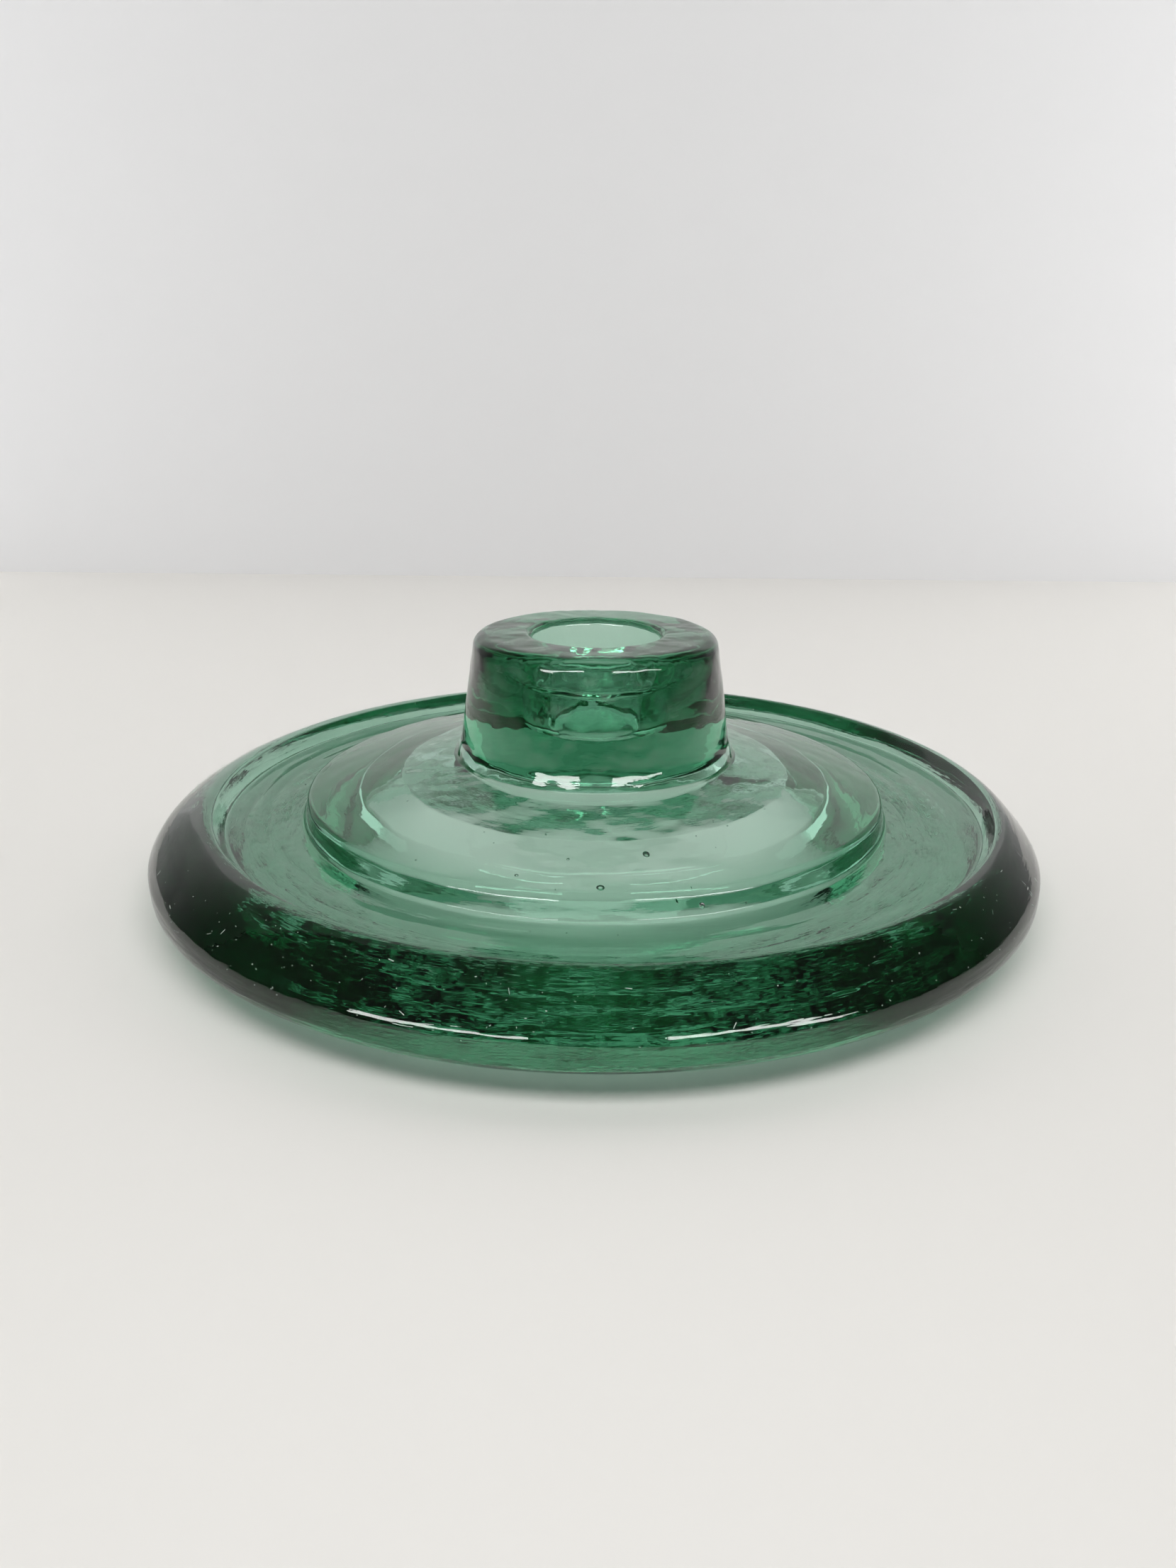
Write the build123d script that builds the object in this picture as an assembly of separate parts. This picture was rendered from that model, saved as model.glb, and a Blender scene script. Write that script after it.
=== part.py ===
from build123d import *

import os

# A pressed glass insulator: one body of revolution about +Z, standing on its foot ring at Z = 0.
# All dimensions are in millimetres.

FULL_TURN = 360
AXIS_RADIUS = 0

# Outer rim: a wide bead whose lower edge stays clear of the ground.
RIM_RADIUS = 115.0
RIM_WIDEST_HEIGHT = 12.4
RIM_CROWN_FULLNESS = 0.32
CREST_RADIUS = 102.4
CREST_HEIGHT = 23.6
RIM_UNDERSIDE_HEIGHT = 5.5
RIM_UNDERSIDE_ROUND = 4.5
RIM_UNDERSIDE_INNER_RADIUS = 107.5
RIM_UNDERSIDE_INNER_ROUND = 3.0

# Channel inside the crest, with a steep outer side that ends in a narrow lip.
CHANNEL_OUTER_RADIUS = 98.2
CHANNEL_HEIGHT = 19.0
CHANNEL_ROUND = 1.5
LIP_RADIUS = 101.2
LIP_HEIGHT = 23.5
LIP_ROUND = 1.2

# Step up to the shoulder, which slopes gently to the knob.
STEP_BASE_RADIUS = 76.6
STEP_BASE_ROUND = 1.2
STEP_TOP_RADIUS = 75.6
STEP_TOP_HEIGHT = 25.0
STEP_TOP_ROUND = 2.4

# Knob: tapered, with a short flare at its foot.
KNOB_BASE_RADIUS = 36.9
KNOB_BASE_HEIGHT = 33.3
KNOB_BASE_ROUND = 1.2
KNOB_FLARE_RADIUS = 35.3
KNOB_FLARE_HEIGHT = 37.6
KNOB_FLARE_ROUND = 8.0
KNOB_TOP_RADIUS = 31.4
KNOB_HEIGHT = 65.0
KNOB_TOP_ROUND = 3.6

# Blind hole in the knob: a dished floor, a smooth one-inch pin hole and a wider cup at the mouth.
HOLE_FLOOR_HEIGHT = 36.9
DISH_RADIUS = 3.0
DISH_HEIGHT = 37.1
DISH_ROUND = 6.0
HOLE_RADIUS = 12.7
HOLE_FOOT_HEIGHT = 40.5
HOLE_FOOT_ROUND = 3.0
HOLE_TOP_HEIGHT = 51.5
HOLE_TOP_ROUND = 1.0
CUP_FOOT_RADIUS = 16.2
CUP_FOOT_HEIGHT = 53.5
CUP_FOOT_ROUND = 1.0
MOUTH_RADIUS = 16.8
MOUTH_ROUND = 2.0

# Foot ring under the channel.
FOOT_OUTER_RADIUS = 95.5
FOOT_INNER_RADIUS = 76.5
FOOT_HEIGHT = 0.0
FOOT_ROUND = 2.5

# Hollow inside the foot ring: a cone up to a thin shoulder, then a flat-topped socket under the knob.
CONE_TOP_RADIUS = 60.5
CONE_TOP_HEIGHT = 19.0
CONE_TOP_ROUND = 4.0
SHOULDER_UNDERSIDE_RADIUS = 50.0
SHOULDER_UNDERSIDE_HEIGHT = 23.5
SHOULDER_UNDERSIDE_ROUND = 3.0
SOCKET_MOUTH_RADIUS = 33.0
SOCKET_MOUTH_HEIGHT = 25.5
SOCKET_MOUTH_ROUND = 2.0
SOCKET_RADIUS = 28.5
SOCKET_TOP_HEIGHT = 33.0
SOCKET_TOP_ROUND = 2.0

PART_NODE = "glass_body"
OUTPUT_FOLDER = "parts"


def upper_corners():
    """Corners of the upper outline as (radius, height, rounding), from the hole's floor out to the crest."""
    return [
        (AXIS_RADIUS, HOLE_FLOOR_HEIGHT, 0),
        (DISH_RADIUS, DISH_HEIGHT, DISH_ROUND),
        (HOLE_RADIUS, HOLE_FOOT_HEIGHT, HOLE_FOOT_ROUND),
        (HOLE_RADIUS, HOLE_TOP_HEIGHT, HOLE_TOP_ROUND),
        (CUP_FOOT_RADIUS, CUP_FOOT_HEIGHT, CUP_FOOT_ROUND),
        (MOUTH_RADIUS, KNOB_HEIGHT, MOUTH_ROUND),
        (KNOB_TOP_RADIUS, KNOB_HEIGHT, KNOB_TOP_ROUND),
        (KNOB_FLARE_RADIUS, KNOB_FLARE_HEIGHT, KNOB_FLARE_ROUND),
        (KNOB_BASE_RADIUS, KNOB_BASE_HEIGHT, KNOB_BASE_ROUND),
        (STEP_TOP_RADIUS, STEP_TOP_HEIGHT, STEP_TOP_ROUND),
        (STEP_BASE_RADIUS, CHANNEL_HEIGHT, STEP_BASE_ROUND),
        (CHANNEL_OUTER_RADIUS, CHANNEL_HEIGHT, CHANNEL_ROUND),
        (LIP_RADIUS, LIP_HEIGHT, LIP_ROUND),
        (CREST_RADIUS, CREST_HEIGHT, 0),
    ]


def lower_corners():
    """Corners of the underside as (radius, height, rounding), from the rim's widest line in to the axis."""
    return [
        (RIM_RADIUS, RIM_WIDEST_HEIGHT, 0),
        (RIM_RADIUS, RIM_UNDERSIDE_HEIGHT, RIM_UNDERSIDE_ROUND),
        (RIM_UNDERSIDE_INNER_RADIUS, RIM_UNDERSIDE_HEIGHT, RIM_UNDERSIDE_INNER_ROUND),
        (FOOT_OUTER_RADIUS, FOOT_HEIGHT, FOOT_ROUND),
        (FOOT_INNER_RADIUS, FOOT_HEIGHT, FOOT_ROUND),
        (CONE_TOP_RADIUS, CONE_TOP_HEIGHT, CONE_TOP_ROUND),
        (SHOULDER_UNDERSIDE_RADIUS, SHOULDER_UNDERSIDE_HEIGHT, SHOULDER_UNDERSIDE_ROUND),
        (SOCKET_MOUTH_RADIUS, SOCKET_MOUTH_HEIGHT, SOCKET_MOUTH_ROUND),
        (SOCKET_RADIUS, SOCKET_TOP_HEIGHT, SOCKET_TOP_ROUND),
        (AXIS_RADIUS, SOCKET_TOP_HEIGHT, 0),
    ]


def rim_crown():
    """Curve of the rim's upper face, from the crest to the widest line."""
    width = RIM_RADIUS - CREST_RADIUS
    height = CREST_HEIGHT - RIM_WIDEST_HEIGHT
    return Bezier(
        (CREST_RADIUS, CREST_HEIGHT),
        (CREST_RADIUS + RIM_CROWN_FULLNESS * width, CREST_HEIGHT),
        (RIM_RADIUS, RIM_WIDEST_HEIGHT + RIM_CROWN_FULLNESS * height),
        (RIM_RADIUS, RIM_WIDEST_HEIGHT),
    )


def places(corners):
    """The corners without their roundings."""
    return [(radius, height) for radius, height, rounding in corners]


def half_section():
    """The rounded half section in the radius-height plane."""
    upper = upper_corners()
    lower = lower_corners()
    top_line = Polyline(*places(upper))
    bottom_line = Polyline(*places(lower))
    axis_line = Line((AXIS_RADIUS, SOCKET_TOP_HEIGHT), (AXIS_RADIUS, HOLE_FLOOR_HEIGHT))
    section = make_face([*top_line.edges(), rim_crown(), *bottom_line.edges(), axis_line])
    for radius, height, rounding in upper + lower:
        if rounding:
            corner = section.vertices().sort_by_distance((radius, height))[0]
            section = fillet(corner, rounding)
    return section


def glass_body():
    """The whole insulator as one closed solid."""
    return revolve(Plane.XZ * half_section(), axis=Axis.Z, revolution_arc=FULL_TURN)


def main():
    os.makedirs(OUTPUT_FOLDER, exist_ok=True)
    body = glass_body()
    body.label = PART_NODE
    export_step(body, f"{OUTPUT_FOLDER}/{PART_NODE}.step")


main()
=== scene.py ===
import math
import random

import bpy
import numpy as np
from mathutils import Matrix


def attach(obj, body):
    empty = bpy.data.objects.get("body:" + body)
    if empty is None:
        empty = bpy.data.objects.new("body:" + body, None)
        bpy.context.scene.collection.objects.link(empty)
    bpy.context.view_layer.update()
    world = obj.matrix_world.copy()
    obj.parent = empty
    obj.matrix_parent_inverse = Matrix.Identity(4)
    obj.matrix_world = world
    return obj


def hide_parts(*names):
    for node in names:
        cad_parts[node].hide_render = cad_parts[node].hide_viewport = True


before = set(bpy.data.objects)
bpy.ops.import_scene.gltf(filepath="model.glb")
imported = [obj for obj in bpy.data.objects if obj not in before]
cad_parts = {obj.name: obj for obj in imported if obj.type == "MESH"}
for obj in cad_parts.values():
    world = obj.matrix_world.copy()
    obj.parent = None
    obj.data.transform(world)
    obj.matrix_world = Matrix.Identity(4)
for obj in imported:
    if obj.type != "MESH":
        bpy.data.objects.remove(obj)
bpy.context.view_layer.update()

MM = 0.001
TAU = 2 * math.pi

# Half section of the glass in millimetres, the same corners as the CAD part: (radius, height, rounding).
RIM_RADIUS = 115.0
RIM_WIDEST_HEIGHT = 12.4
CREST_RADIUS = 102.4
CREST_HEIGHT = 23.6
CROWN_FULLNESS = 0.32
TOP_CORNERS = [
    (0, 36.9, 0), (3.0, 37.1, 6.0), (12.7, 40.5, 3.0), (12.7, 51.5, 1.0), (16.2, 53.5, 1.0),
    (16.8, 65.0, 2.0), (31.4, 65.0, 3.6), (35.3, 37.6, 8.0), (36.9, 33.3, 1.2), (75.6, 25.0, 2.4),
    (76.6, 19.0, 1.2), (98.2, 19.0, 1.5), (101.2, 23.5, 1.2), (CREST_RADIUS, CREST_HEIGHT, 0),
]
UNDER_CORNERS = [
    (RIM_RADIUS, RIM_WIDEST_HEIGHT, 0), (115.0, 5.5, 4.5), (107.5, 5.5, 3.0), (95.5, 0, 2.5),
    (76.5, 0, 2.5), (60.5, 19.0, 4.0), (50.0, 23.5, 3.0), (33.0, 25.5, 2.0), (28.5, 33.0, 2.0),
    (0, 33.0, 0),
]

# The foot of the knob, and the height above which the section belongs to the upper face, in mm.
KNOB_FOOT = 37.0
UPPER_SIDE_HEIGHT = 17.4

# Camera: its place in metres, its tilt below the horizon in degrees and its roll in radians.
CAMERA_PLACE = (-0.0017, -0.3004, 0.1298)
CAMERA_PITCH = 19.55
CAMERA_ROLL = 0.009127
SENSOR_WIDTH = 36.0
LENS = 27.05
NEAREST = 0.01

# Stage, in metres: the floor lies a little under the foot ring, so that the two surfaces never meet. Within the
# glow radii it carries a painted pool of light, a soft glow for the light that the glass gathers there. FADE
# distances are where the camera starts and ends to see the backdrop instead.
FLOOR_HEIGHT = -0.0004
PAINTED_FLOOR_LIGHT = 0.20
FLOOR_COLOUR = (0.80, 0.785, 0.755)
FLOOR_SPECULAR = 0.25
PAINTED_FLOOR_LIGHT_COLOUR = (1.0, 0.98, 0.95, 1)
PAINTED_LIGHT_RADII = (0.045, 0.095)
FLOOR_FADE = (0.50, 1.20)
WALL_PLACE = 0.471
WALL_COLOUR = (0.84, 0.84, 0.85)
WALL_FADE = (0.45, 0.90)
WALL_MIDDLE_HEIGHT = 0.55
WALL_HALF_HEIGHT = 0.65
STAGE_REACH = 3
WHITE = (1, 1, 1, 1)

# How bright the far backdrop looks to the camera, and how dim the room is for the light.
BACKDROP = 0.62
ROOM_DARK = 0.02
STAGE_ROUGHNESS = 0.6

# How many bounces light may make, since it runs to and fro inside the rim.
BOUNCES = 32

# Lamps: name, centre, the two half sides, strength, and whether surfaces mirror it. A mirrored lamp doesn't
# light the table and the wall; the others do, and nothing mirrors them.
LAMPS = [
    ("left_wall", (-0.42, 0.22, 0.3), (0, 0.25, 0), (0, 0, 0.3), 0.42, False),
    ("right_wall", (0.42, 0.22, 0.3), (0, 0.25, 0), (0, 0, 0.3), 0.58, False),
    ("ceiling", (0, 0.27, 0.62), (0.42, 0, 0), (0, 0.20, 0), 0.22, False),
    ("ceiling_front", (0, -0.48, 0.75), (0.5, 0, 0), (0, 0.22, 0), 4.6, False),
    ("front_left", (-0.37, -0.50, 0.185), (0.26, 0, 0), (0, 0, 0.035), 13.0, True),
    ("front_right", (0.45, -0.50, 0.185), (0.32, 0, 0), (0, 0, 0.035), 13.0, True),
]

# Mesh: number of turns, gaps between points above and below in mm, and the arcs' steps in degrees.
SEGMENTS = 360
FINE_STEP = 1.3
COARSE_STEP = 4.5
ARC_STEP = 12.0
CROWN_POINTS = 21
SAME_PLACE = 1e-4

# The crest ring sits a little to one side: the shift in mm fades in and out over these radii.
CREST_SHIFT = 2.3
SHIFT_RISES = (84, 97)
SHIFT_FALLS = (100, 113)

# Ripples of the hand-made surface: height in mm, seed, number of waves, range of waves round the part, and
# range of wavelengths along the section in mm. SWAY scales the medium ripples instead.
BROAD = (0.070, 11, 40, (2, 14), (14, 40))
MEDIUM = (0.027, 12, 60, (6, 40), (5, 12))
FLOW = (0.022, 13, 60, (2, 14), (2.6, 6))
SWAY = (1.2, 14, 12, (1, 4), (30, 70))
RINGS = (0.110, 15, 24, (0, 4), (4, 9))

# How the ripples are weighted: what the crown takes off the broad ones, the medium ones on the rim and where
# the sway is least, the flow lines everywhere, on the rim and in the channel, and all on the lower side.
CROWN_CALM = 0.85
MEDIUM_ON_RIM = 0.5
MEDIUM_LEAST = 0.4
FLOW_SHARE = 0.4
FLOW_ON_RIM = 0.8
FLOW_IN_ZONE = 0.6
LOWER_SHARE = 0.9

# Where the ripples change, in mm: the rim, the calmer crown, the channel and the still middle.
RIM_BEGINS = (96, 102)
CROWN_CALMS = (97, 103)
CHANNEL_BEGINS = (77, 82)
CHANNEL_ENDS = (96, 101)
FLOW_ZONE = (76, 100)
MIDDLE_RADII = (8, 27)
MIDDLE_HEIGHTS = (38, 46)
RIM_INSIDE = 105
UNDERSIDE_HEIGHT = 18.5
RIM_UNDERSIDE_HEIGHT = 11.9

# Absorption of the green glass for red, green and blue, per millimetre.
ABSORPTION = (0.046, 0.0215, 0.032)
INDEX = 1.52

# Height of the finest surface relief in metres, the roughness of worn glass, and how much of the light the worn
# ends and the dust scatter.
RELIEF = 0.00009
WORN_ROUGHNESS = 0.06
VEIL = 0.03
DUST = 0.004

# Noise of the relief: its scales per metre, how far streaks stretch round the part, and the lesser shares.
# The streaks grow outward and on the rim's lower side: from and to in metres, then the two strengths.
STREAK_SCALE = 420.0
STREAK_STRETCH = 0.012
PIT_SCALE = 900.0
PIT_SHARE = 0.05
PEEL_SCALE = 260.0
PEEL_SHARE = 0.20
STREAKS_OUTWARD = (0.070, 0.082, 0.4, 1.3)
STREAKS_BENEATH = (0.009, 0.014, 4.5, 1.0)

# Wear at the two ends of the rim: where it begins in metres, and the brushed noise that breaks it up.
WORN_ENDS = (0.080, 0.112, 0.0, 1.0)
WORN_OUTSIDE = (0.099, 0.104, 0.0, 1.0)
WEAR_SCALE = (160.0, 60.0, 220.0)
WEAR_TURN = (0, 0.6, 0.5)
WEAR_CONTRAST = (0.46, 0.64, 0.06, 1.0)

# Dust: its darker and paler colours, its noise scales per metre, and its roughness as noise from and to, then
# roughness from and to.
DUST_DARK = (0.30, 0.40, 0.36, 1)
DUST_PALE = (0.75, 0.78, 0.74, 1)
DUST_MOTTLE = 400.0
DUST_GRAIN = 900.0
DUST_ROUGHNESS = (0.3, 0.7, 0.55, 0.9)

# Dust and small scratches on the rim's crown: bearing and its spread in degrees, and how many. Then the seed,
# their sizes in mm, and the stretch of the crown they lie on, from 0 at the crest to 1 at the widest line.
MARK_BANDS = [(215, 24, 60), (262, 30, 50), (322, 26, 55), (180, 18, 24), (2, 18, 24), (90, 70, 30)]
MARK_SEED = 31
MARK_LIFT = 0.02
MARK_LENGTHS = (0.07, 0.09, 0.12, 0.16, 0.20, 0.65)
MARK_WIDTHS = (0.03, 0.08)
MARK_HEIGHT = 0.03
BOX_FACES = ((3, 2, 1, 0), (4, 5, 6, 7), (0, 1, 5, 4), (1, 2, 6, 5), (2, 3, 7, 6), (3, 0, 4, 7))
MARK_REACH = (0.25, 0.97)
SLOPE_STEP = 0.01


def unit(v):
    """The vector at length 1."""
    return v / np.linalg.norm(v)


def rounded(corners):
    """The corner list as points, with each rounding drawn as an arc."""
    points = []
    for i, (r, z, size) in enumerate(corners):
        p = np.array([r, z], float)
        if not size or i in (0, len(corners) - 1):
            points.append(p)
            continue
        a = unit(np.array(corners[i - 1][:2], float) - p)
        b = unit(np.array(corners[i + 1][:2], float) - p)
        half = math.acos(np.clip(a @ b, -1, 1)) / 2
        reach = size / math.tan(half)
        centre = p + unit(a + b) * size / math.sin(half)
        start = p + a * reach - centre
        end = p + b * reach - centre
        sweep = math.atan2(start[0] * end[1] - start[1] * end[0], start @ end)
        count = max(3, int(abs(math.degrees(sweep)) / ARC_STEP) + 1)
        for w in np.linspace(0, sweep, count + 1):
            c, s = math.cos(w), math.sin(w)
            spoke = np.array([c * start[0] - s * start[1], s * start[0] + c * start[1]])
            points.append(centre + spoke)
    return points


def bezier(handles, t):
    """A point of a cubic curve."""
    weights = ((1 - t) ** 3, 3 * t * (1 - t) ** 2, 3 * t * t * (1 - t), t ** 3)
    return sum(w * np.array(h, float) for w, h in zip(weights, handles))


def divided(points, step):
    """Points along a polyline, with no gap wider than step."""
    out = [points[0]]
    for p in points[1:]:
        gap = np.linalg.norm(p - out[-1])
        if gap < SAME_PLACE:
            continue
        count = math.ceil(gap / step)
        start = out[-1]
        out.extend(start + (p - start) * k / count for k in range(1, count + 1))
    return out


def crown_handles():
    """Handles of the rim's upper curve, from the crest to the widest line."""
    wide = RIM_RADIUS - CREST_RADIUS
    tall = CREST_HEIGHT - RIM_WIDEST_HEIGHT
    return [
        (CREST_RADIUS, CREST_HEIGHT), (CREST_RADIUS + CROWN_FULLNESS * wide, CREST_HEIGHT),
        (RIM_RADIUS, RIM_WIDEST_HEIGHT + CROWN_FULLNESS * tall), (RIM_RADIUS, RIM_WIDEST_HEIGHT),
    ]


def half_section():
    """The whole half section as points, from the hole's floor out over the rim and back under to the axis."""
    widest = (RIM_RADIUS, RIM_WIDEST_HEIGHT, 0)
    top = rounded(TOP_CORNERS + [widest])[:-1]
    handles = crown_handles()
    crown = [bezier(handles, t) for t in np.linspace(0, 1, CROWN_POINTS)[1:]]
    upper = divided(top + crown, FINE_STEP)
    lower = divided(rounded(UNDER_CORNERS), COARSE_STEP)
    return np.array(upper + lower[1:])


def waves(turns, along, ripple):
    """A smooth random field, periodic round the part, from one row of the ripples."""
    height, seed, count, turn_range, pitch_range = ripple
    rng = np.random.default_rng(seed)
    field = np.zeros((len(turns), len(along)))
    for _ in range(count):
        n = rng.integers(turn_range[0], turn_range[1] + 1)
        pitch = rng.uniform(*pitch_range)
        phase = rng.uniform(0, TAU)
        lean = rng.choice([-1, 1])
        field += np.cos(n * turns[:, None] + lean * TAU * along[None, :] / pitch + phase)
    return height * (field / math.sqrt(count))


def smooth(low, high, x):
    """Rises smoothly from 0 at low to 1 at high."""
    t = np.clip((x - low) / (high - low), 0, 1)
    return t * t * (3 - 2 * t)


def glass_points(section):
    """The revolved section with its ripples and its eccentric crest: turns x points x 3, in mm."""
    r, z = section[:, 0], section[:, 1]
    tangent = np.gradient(section, axis=0)
    normal = np.stack([-tangent[:, 1], tangent[:, 0]], 1)
    normal /= np.linalg.norm(normal, axis=1)[:, None]
    steps = np.linalg.norm(np.diff(section, axis=0), axis=1)
    along = np.concatenate([[0], np.cumsum(steps)])
    turns = np.arange(SEGMENTS) * TAU / SEGMENTS

    rim = smooth(*RIM_BEGINS, r)
    middle = (1 - smooth(*MIDDLE_RADII, r)) * (1 - smooth(*MIDDLE_HEIGHTS, z))
    lower = z < np.where(r > RIM_INSIDE, RIM_UNDERSIDE_HEIGHT, UNDERSIDE_HEIGHT)
    channel = smooth(*CHANNEL_BEGINS, r) * (1 - smooth(*CHANNEL_ENDS, r))
    flow_zone = (r > FLOW_ZONE[0]) & (r < FLOW_ZONE[1])
    broad = waves(turns, along, BROAD) * (1 - CROWN_CALM * smooth(*CROWN_CALMS, r))
    medium = waves(turns, along, MEDIUM) * np.where(rim > 0, MEDIUM_ON_RIM, 1)
    sway = 0.5 + 0.5 * np.tanh(waves(turns, along, SWAY))
    flow = waves(turns, along, FLOW) * (FLOW_SHARE + FLOW_ON_RIM * rim + FLOW_IN_ZONE * flow_zone)
    push = broad + waves(turns, along, RINGS) * channel + medium * (MEDIUM_LEAST + sway) + flow
    push = push * np.where(lower, LOWER_SHARE, 1) * (1 - middle)

    radius = r + push * normal[:, 0]
    height = z + push * normal[:, 1]
    x = np.cos(turns)[:, None] * radius
    y = np.sin(turns)[:, None] * radius
    x += CREST_SHIFT * smooth(*SHIFT_RISES, r) * (1 - smooth(*SHIFT_FALLS, r))
    return np.stack([x, y, height], 2)


def lathe_faces(turns, points):
    """Quads between neighbouring turns, and a fan at both ends on the axis."""
    faces = []
    top, bottom = turns * points, turns * points + 1
    for s in range(turns):
        a, b = s * points, (s + 1) % turns * points
        faces.extend((a + k, a + k + 1, b + k + 1, b + k) for k in range(points - 1))
        faces.append((top, a, b))
        faces.append((a + points - 1, bottom, b + points - 1))
    return faces


# Gas bubbles that show in the front of the shoulder: radius and bearing of the place, depth under the
# surface, then the three half sizes along the radius, round the part and upward, in mm and degrees.
BUBBLES = [
    (69, 271, 3.0, 0.95, 0.95, 0.8), (55, 282, 3.0, 1.2, 0.8, 0.7), (77.5, 287, 2.5, 1.0, 0.6, 0.6),
    (66, 255, 3.0, 0.5, 0.5, 0.4), (57, 264, 3.0, 0.35, 0.35, 0.3), (74, 283.5, 2.5, 1.2, 0.22, 0.3),
]

# Tiny bubbles: the dice's seed, how many, their half sizes, radii and depths in mm, and their mesh.
SCATTER_SEED = 7
SEED_BUBBLES = 90
SEED_SIZES = (0.14, 0.18, 0.25)
SEED_RADII = (42, 100)
SEED_DEPTHS = (1.2, 3.2)
SEED_MESH = {"rings": 5, "spokes": 8}


def ball(centre, half, turn, rings=9, spokes=16):
    """A closed ellipsoid whose faces look inward: the surface of a gas bubble, seen from the glass."""
    verts = [(0, 0, 1)]
    for i in range(1, rings):
        a = math.pi * i / rings
        bearings = [TAU * j / spokes for j in range(spokes)]
        verts += [(math.sin(a) * math.cos(b), math.sin(a) * math.sin(b), math.cos(a)) for b in bearings]
    verts.append((0, 0, -1))
    faces = [(0, 1 + (j + 1) % spokes, 1 + j) for j in range(spokes)]
    for i in range(rings - 2):
        a, b = 1 + i * spokes, 1 + (i + 1) * spokes
        faces += [(a + j, a + (j + 1) % spokes, b + (j + 1) % spokes, b + j) for j in range(spokes)]
    last, a = len(verts) - 1, 1 + (rings - 2) * spokes
    faces += [(last, a + j, a + (j + 1) % spokes) for j in range(spokes)]
    points = np.array(verts) * half
    c, s = math.cos(turn), math.sin(turn)
    points = points @ np.array([[c, s, 0], [-s, c, 0], [0, 0, 1]]) + centre
    return points, faces


def top_height(section, radius):
    """Height of the upper face of the disc at a radius between the knob and the crest."""
    upper = [p for p in section if KNOB_FOOT < p[0] <= CREST_RADIUS and p[1] > UPPER_SIDE_HEIGHT]
    return float(np.interp(radius, [p[0] for p in upper], [p[1] for p in upper]))


def bubble_list(section):
    """The drawn bubbles and a scatter of tiny ones: centre, half sizes and turn of each."""
    out = []
    for radius, bearing, depth, along, across, up in BUBBLES:
        a = math.radians(bearing)
        height = top_height(section, radius) - depth
        centre = np.array([radius * math.cos(a), radius * math.sin(a), height])
        out.append((centre, (along, across, up), a))
    dice = random.Random(SCATTER_SEED)
    for _ in range(SEED_BUBBLES):
        radius = dice.uniform(*SEED_RADII)
        a = dice.uniform(0, TAU)
        size = dice.choice(SEED_SIZES)
        height = top_height(section, radius) - dice.uniform(*SEED_DEPTHS)
        centre = np.array([radius * math.cos(a), radius * math.sin(a), height])
        out.append((centre, (size, size, size), a))
    return out


def glass_mesh():
    """The body and, inside it, its bubbles, in mm."""
    section = half_section()
    ring = glass_points(section[1:-1])
    ends = np.array([[0, 0, section[0][1]], [0, 0, section[-1][1]]])
    verts = [ring.reshape(-1, 3), ends]
    faces = lathe_faces(SEGMENTS, len(section) - 2)
    count = SEGMENTS * (len(section) - 2) + 2
    for i, (centre, half, turn) in enumerate(bubble_list(section)):
        shape = {} if i < len(BUBBLES) else SEED_MESH
        points, sides = ball(centre, half, turn, **shape)
        verts.append(points)
        faces += [tuple(count + k for k in side) for side in sides]
        count += len(points)
    return np.vstack(verts), faces


def mark(place, out, side, length, width, height):
    """A closed sliver lying on the glass: its eight corners, in mm."""
    up = np.cross(out, side)
    corners = []
    for level in (0.0, height):
        for a, b in ((-1, -1), (1, -1), (1, 1), (-1, 1)):
            corners.append(place + side * a * length + up * b * width + out * level)
    return corners


def marks_mesh():
    """Specks and short scratches on the rim, in mm."""
    dice = random.Random(MARK_SEED)
    handles = crown_handles()
    verts, faces = [], []
    for bearing, spread, count in MARK_BANDS:
        for _ in range(count):
            angle = math.radians(bearing + dice.uniform(-spread, spread))
            t = dice.uniform(*MARK_REACH)
            r, z = bezier(handles, t)
            next_r, next_z = bezier(handles, t + SLOPE_STEP)
            slope = unit(np.array([next_r - r, next_z - z]))
            radial = np.array([math.cos(angle), math.sin(angle), 0])
            out = unit(-slope[1] * radial + np.array([0, 0, slope[0]]))
            round_part = np.array([-math.sin(angle), math.cos(angle), 0])
            turn = dice.uniform(0, math.pi)
            side = unit(round_part * math.cos(turn) + np.cross(out, round_part) * math.sin(turn))
            length = dice.choice(MARK_LENGTHS)
            place = radial * r + np.array([0, 0, z]) + out * MARK_LIFT
            first = len(verts)
            verts += mark(place, out, side, length, dice.uniform(*MARK_WIDTHS), MARK_HEIGHT)
            faces += [tuple(first + k for k in face) for face in BOX_FACES]
    return np.array(verts), faces


def node(tree, kind, inputs=None, **settings):
    """A node with its settings. An input that is a socket becomes a link, and any other a value."""
    made = tree.nodes.new(kind)
    for key, value in settings.items():
        setattr(made, key, value)
    for key, value in (inputs or {}).items():
        if isinstance(value, bpy.types.NodeSocket):
            tree.links.new(value, made.inputs[key])
        else:
            made.inputs[key].default_value = value
    return made


def maths(tree, operation, first, second=0.0):
    """The result of a maths node."""
    return node(tree, "ShaderNodeMath", {0: first, 1: second}, operation=operation).outputs[0]


def ramp(tree, value, low, high, out_low, out_high):
    """The value's way from low to high, as a smooth way from out_low to out_high."""
    inputs = {"Value": value, "From Min": low, "From Max": high, "To Min": out_low, "To Max": out_high}
    return node(tree, "ShaderNodeMapRange", inputs, interpolation_type="SMOOTHSTEP").outputs["Result"]


def noise(tree, vector, scale, detail=2.0):
    """Noise from 0 to 1 at a scale per unit of the vector."""
    inputs = {"Vector": vector, "Scale": scale, "Detail": detail}
    return node(tree, "ShaderNodeTexNoise", inputs).outputs["Fac"]


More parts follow.
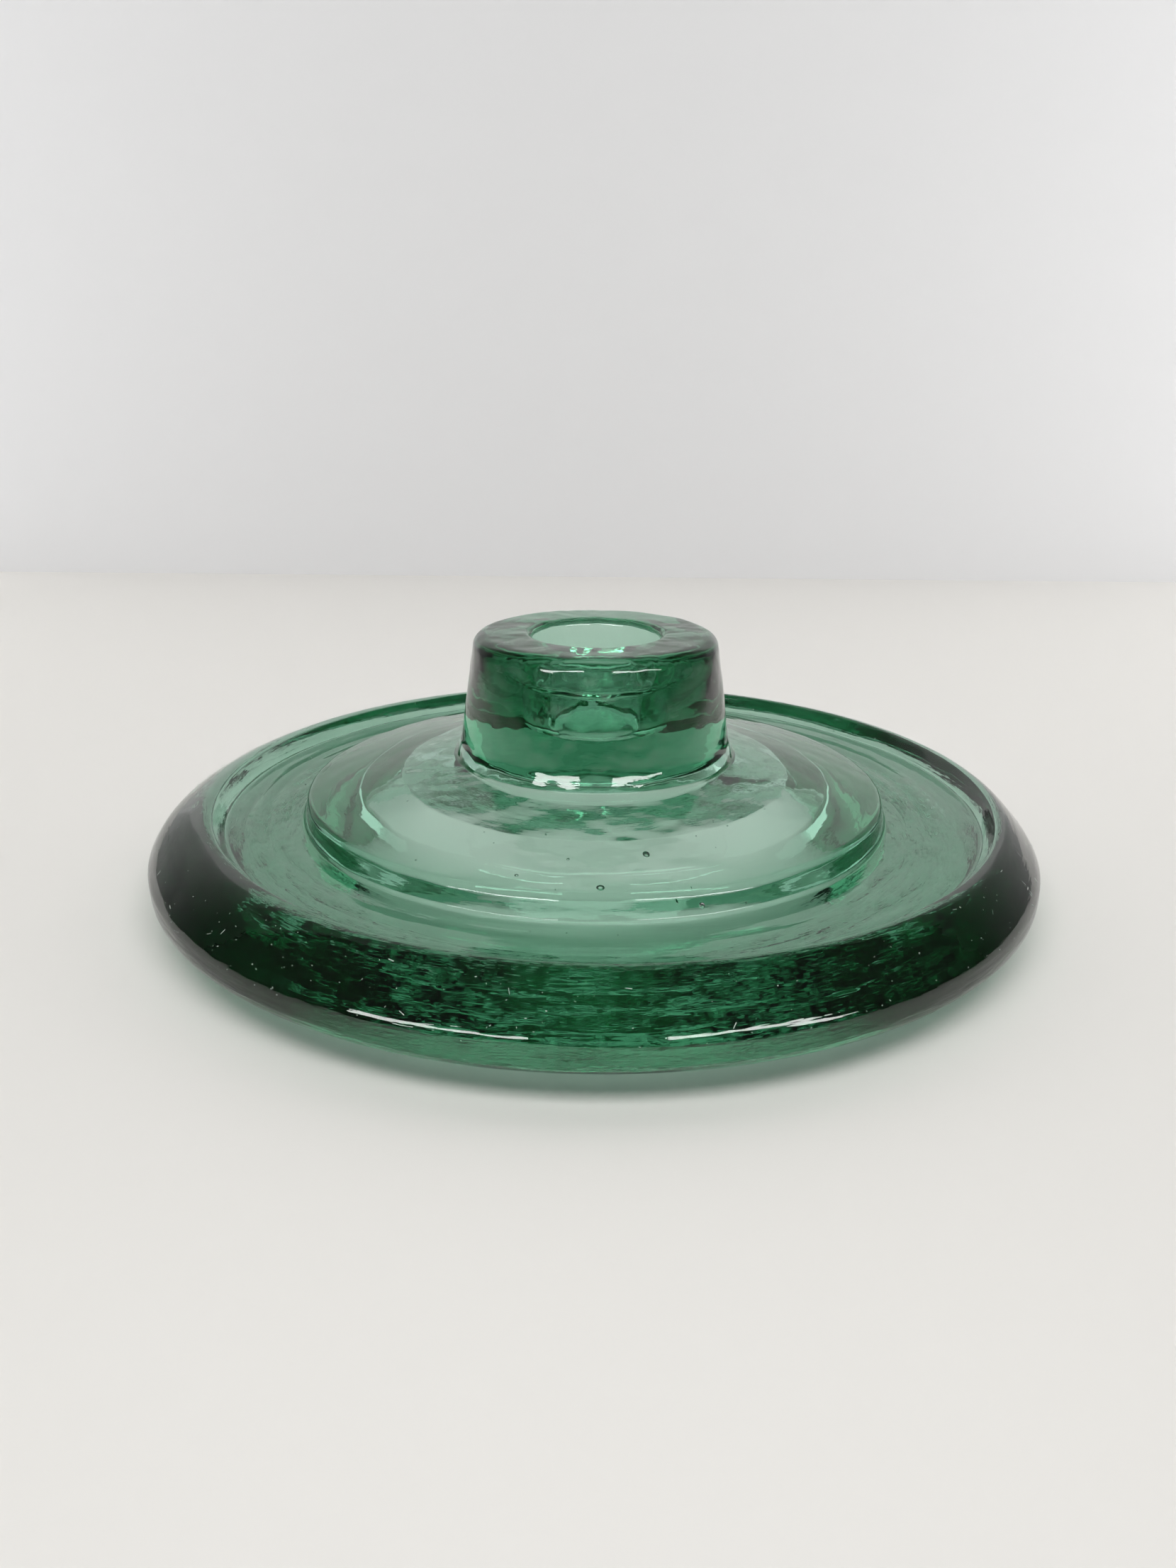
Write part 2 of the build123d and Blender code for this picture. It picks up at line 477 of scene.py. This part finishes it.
def glass_material():
    """Green glass: clear with absorption, fine flow streaks and pits, and worn ends of the rim."""
    material = bpy.data.materials.new("green_glass")
    material.use_nodes = True
    tree = material.node_tree
    shader = tree.nodes["Principled BSDF"]
    shader.inputs["Base Color"].default_value = (1, 1, 1, 1)
    shader.inputs["IOR"].default_value = INDEX

    place = node(tree, "ShaderNodeTexCoord").outputs["Object"]
    axes = node(tree, "ShaderNodeSeparateXYZ", {0: place})
    x, y, z = (axes.outputs[k] for k in range(3))
    square = maths(tree, "ADD", maths(tree, "MULTIPLY", x, x), maths(tree, "MULTIPLY", y, y))
    radius = maths(tree, "SQRT", square)
    bearing = maths(tree, "MULTIPLY", maths(tree, "ARCTAN2", y, x), STREAK_STRETCH)
    round_part = node(tree, "ShaderNodeCombineXYZ", {0: radius, 1: bearing, 2: z})
    streaks = noise(tree, round_part.outputs[0], STREAK_SCALE, 3.0)
    pits = noise(tree, place, PIT_SCALE, 2.0)
    orange_peel = noise(tree, place, PEEL_SCALE, 1.0)
    rim = ramp(tree, radius, *STREAKS_OUTWARD)
    beneath = ramp(tree, z, *STREAKS_BENEATH)
    streaks = maths(tree, "MULTIPLY", maths(tree, "MULTIPLY", streaks, rim), beneath)
    relief = maths(tree, "ADD", streaks, maths(tree, "MULTIPLY", pits, PIT_SHARE))
    relief = maths(tree, "ADD", relief, maths(tree, "MULTIPLY", orange_peel, PEEL_SHARE))
    bump = node(tree, "ShaderNodeBump", {"Strength": 1.0, "Distance": RELIEF, "Height": relief})
    tree.links.new(bump.outputs["Normal"], shader.inputs["Normal"])

    ends = ramp(tree, maths(tree, "ABSOLUTE", x), *WORN_ENDS)
    brushed = {"Vector": place, "Scale": WEAR_SCALE, "Rotation": WEAR_TURN}
    fibres = node(tree, "ShaderNodeMapping", brushed).outputs[0]
    blotches = ramp(tree, noise(tree, fibres, 1.0, 8.0), *WEAR_CONTRAST)
    outside = ramp(tree, radius, *WORN_OUTSIDE)
    worn = maths(tree, "MULTIPLY", maths(tree, "MULTIPLY", ends, blotches), outside)
    veil = maths(tree, "ADD", maths(tree, "MULTIPLY", worn, VEIL), DUST)
    tree.links.new(maths(tree, "SUBTRACT", 1.0, veil), shader.inputs["Transmission Weight"])
    tree.links.new(maths(tree, "MULTIPLY", worn, WORN_ROUGHNESS), shader.inputs["Roughness"])

    strongest = max(ABSORPTION)
    tint = (*(1 - a / strongest for a in ABSORPTION), 1)
    volume = node(tree, "ShaderNodeVolumeAbsorption", {"Density": strongest / MM, "Color": tint})
    tree.links.new(volume.outputs[0], tree.nodes["Material Output"].inputs["Volume"])
    return material


def mark_material():
    """Pale dust, mottled so that no two specks match."""
    material = bpy.data.materials.new("dust")
    material.use_nodes = True
    tree = material.node_tree
    shader = tree.nodes["Principled BSDF"]
    place = node(tree, "ShaderNodeTexCoord").outputs["Object"]
    shade = ramp(tree, noise(tree, place, DUST_MOTTLE, 4.0), 0.3, 0.7, 0.0, 1.0)
    colours = {"Factor": shade, "A": DUST_DARK, "B": DUST_PALE}
    mix = node(tree, "ShaderNodeMix", colours, data_type="RGBA")
    grain = ramp(tree, noise(tree, place, DUST_GRAIN, 2.0), *DUST_ROUGHNESS)
    tree.links.new(mix.outputs["Result"], shader.inputs["Base Color"])
    tree.links.new(grain, shader.inputs["Roughness"])
    return material


def plain(name, colour, emit=0.0):
    """A dull material for the stage, which glows if emit isn't zero."""
    material = bpy.data.materials.new(name)
    material.use_nodes = True
    shader = material.node_tree.nodes["Principled BSDF"]
    shader.inputs["Base Color"].default_value = (*colour, 1)
    shader.inputs["Roughness"].default_value = STAGE_ROUGHNESS
    if emit:
        shader.inputs["Emission Color"].default_value = (*colour, 1)
        shader.inputs["Emission Strength"].default_value = emit
    return material


def linked(name, verts, faces, material):
    """A new mesh object in the scene."""
    mesh = bpy.data.meshes.new(name)
    mesh.from_pydata(verts, [], faces)
    mesh.materials.append(material)
    made = bpy.data.objects.new(name, mesh)
    bpy.context.scene.collection.objects.link(made)
    return made


def plane(name, centre, u, v, material):
    """A stage rectangle from its centre and its two half sides."""
    c, u, v = (np.array(x, float) for x in (centre, u, v))
    corners = [tuple(c - u - v), tuple(c + u - v), tuple(c + u + v), tuple(c - u + v)]
    o = linked(name, corners, [(0, 1, 2, 3)], material)
    return o


def add_glass():
    """The glass and the marks on it, riding on the part's only body."""
    verts, faces = glass_mesh()
    body = linked("pressed_glass", (verts * MM).tolist(), faces, glass_material())
    body.data.shade_smooth()
    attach(body, "root")
    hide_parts("glass_body")
    verts, faces = marks_mesh()
    marks = linked("dust_marks", (verts * MM).tolist(), faces, mark_material())
    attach(marks, "root")


def add_camera():
    """The camera in front of the glass, looking a little down on it."""
    data = bpy.data.cameras.new("camera")
    camera = bpy.data.objects.new("camera", data)
    bpy.context.scene.collection.objects.link(camera)
    bpy.context.scene.camera = camera
    data.sensor_width = SENSOR_WIDTH
    data.lens = LENS
    data.clip_start = NEAREST
    tilt = Matrix.Rotation(math.pi / 2 - math.radians(CAMERA_PITCH), 4, "X")
    camera.matrix_world = Matrix.Translation(CAMERA_PLACE) @ tilt @ Matrix.Rotation(CAMERA_ROLL, 4, "Z")


def backdrop_glow(tree, distance, near, far):
    """A glow that only the camera sees, rising from nothing at near to the backdrop's own at far."""
    seen = node(tree, "ShaderNodeLightPath").outputs["Is Camera Ray"]
    return maths(tree, "MULTIPLY", ramp(tree, distance, near, far, 0.0, BACKDROP), seen)


def floor_material():
    """Pale table top. A painted pool of light under the glass stands in for the light that the glass gathers
    there.

    Far from the glass, out of the lamps' reach, the camera sees it fade into the backdrop.
    """
    material = plain("floor", FLOOR_COLOUR)
    tree = material.node_tree
    where = node(tree, "ShaderNodeNewGeometry").outputs["Position"]
    reach = node(tree, "ShaderNodeVectorMath", {0: where}, operation="LENGTH").outputs["Value"]
    shader = tree.nodes["Principled BSDF"]
    shader.inputs["Specular IOR Level"].default_value = FLOOR_SPECULAR
    shader.inputs["Emission Color"].default_value = PAINTED_FLOOR_LIGHT_COLOUR
    # Painted pool of light under the glass, standing in for the light that the glass gathers there.
    glow = ramp(tree, reach, *PAINTED_LIGHT_RADII, PAINTED_FLOOR_LIGHT, 0.0)
    glow = maths(tree, "ADD", glow, backdrop_glow(tree, reach, *FLOOR_FADE))
    tree.links.new(glow, shader.inputs["Emission Strength"])
    return material


def wall_material():
    """Pale wall that also fades into the backdrop at its far sides."""
    material = plain("wall", WALL_COLOUR)
    tree = material.node_tree
    where = node(tree, "ShaderNodeNewGeometry").outputs["Position"]
    sideways = maths(tree, "ABSOLUTE", node(tree, "ShaderNodeSeparateXYZ", {0: where}).outputs[0])
    shader = tree.nodes["Principled BSDF"]
    shader.inputs["Emission Color"].default_value = WHITE
    tree.links.new(backdrop_glow(tree, sideways, *WALL_FADE), shader.inputs["Emission Strength"])
    return material


def add_stage():
    """Table, back wall, and lamps and walls that light the glass from outside the picture."""
    wide, deep, tall = (STAGE_REACH, 0, 0), (0, STAGE_REACH, 0), (0, 0, WALL_HALF_HEIGHT)
    plane("floor", (0, 0, FLOOR_HEIGHT), wide, deep, floor_material())
    plane("back_wall", (0, WALL_PLACE, WALL_MIDDLE_HEIGHT), wide, tall, wall_material())
    for name, centre, u, v, emit, mirrored in LAMPS:
        lamp = plane(name, centre, u, v, plain(name, (1, 1, 1), emit=emit))
        lamp.visible_camera = False
        lamp.visible_glossy = mirrored
        lamp.visible_diffuse = not mirrored
        lamp.visible_shadow = False


def add_world():
    """A pale backdrop for the camera and a dim room for the light."""
    world = bpy.data.worlds.new("world")
    bpy.context.scene.world = world
    world.use_nodes = True
    tree = world.node_tree
    seen = node(tree, "ShaderNodeLightPath").outputs["Is Camera Ray"]
    colours = {"Factor": seen, "A": (*[ROOM_DARK] * 3, 1), "B": (*[BACKDROP] * 3, 1)}
    shade = node(tree, "ShaderNodeMix", colours, data_type="RGBA")
    tree.links.new(shade.outputs["Result"], tree.nodes["Background"].inputs["Color"])


def set_light_paths():
    """Enough bounces for the light that runs to and fro inside the rim."""
    scene = bpy.context.scene
    scene.view_settings.view_transform = "Standard"
    scene.cycles.max_bounces = BOUNCES
    scene.cycles.glossy_bounces = BOUNCES
    scene.cycles.transmission_bounces = BOUNCES


add_glass()
add_camera()
add_stage()
add_world()
set_light_paths()
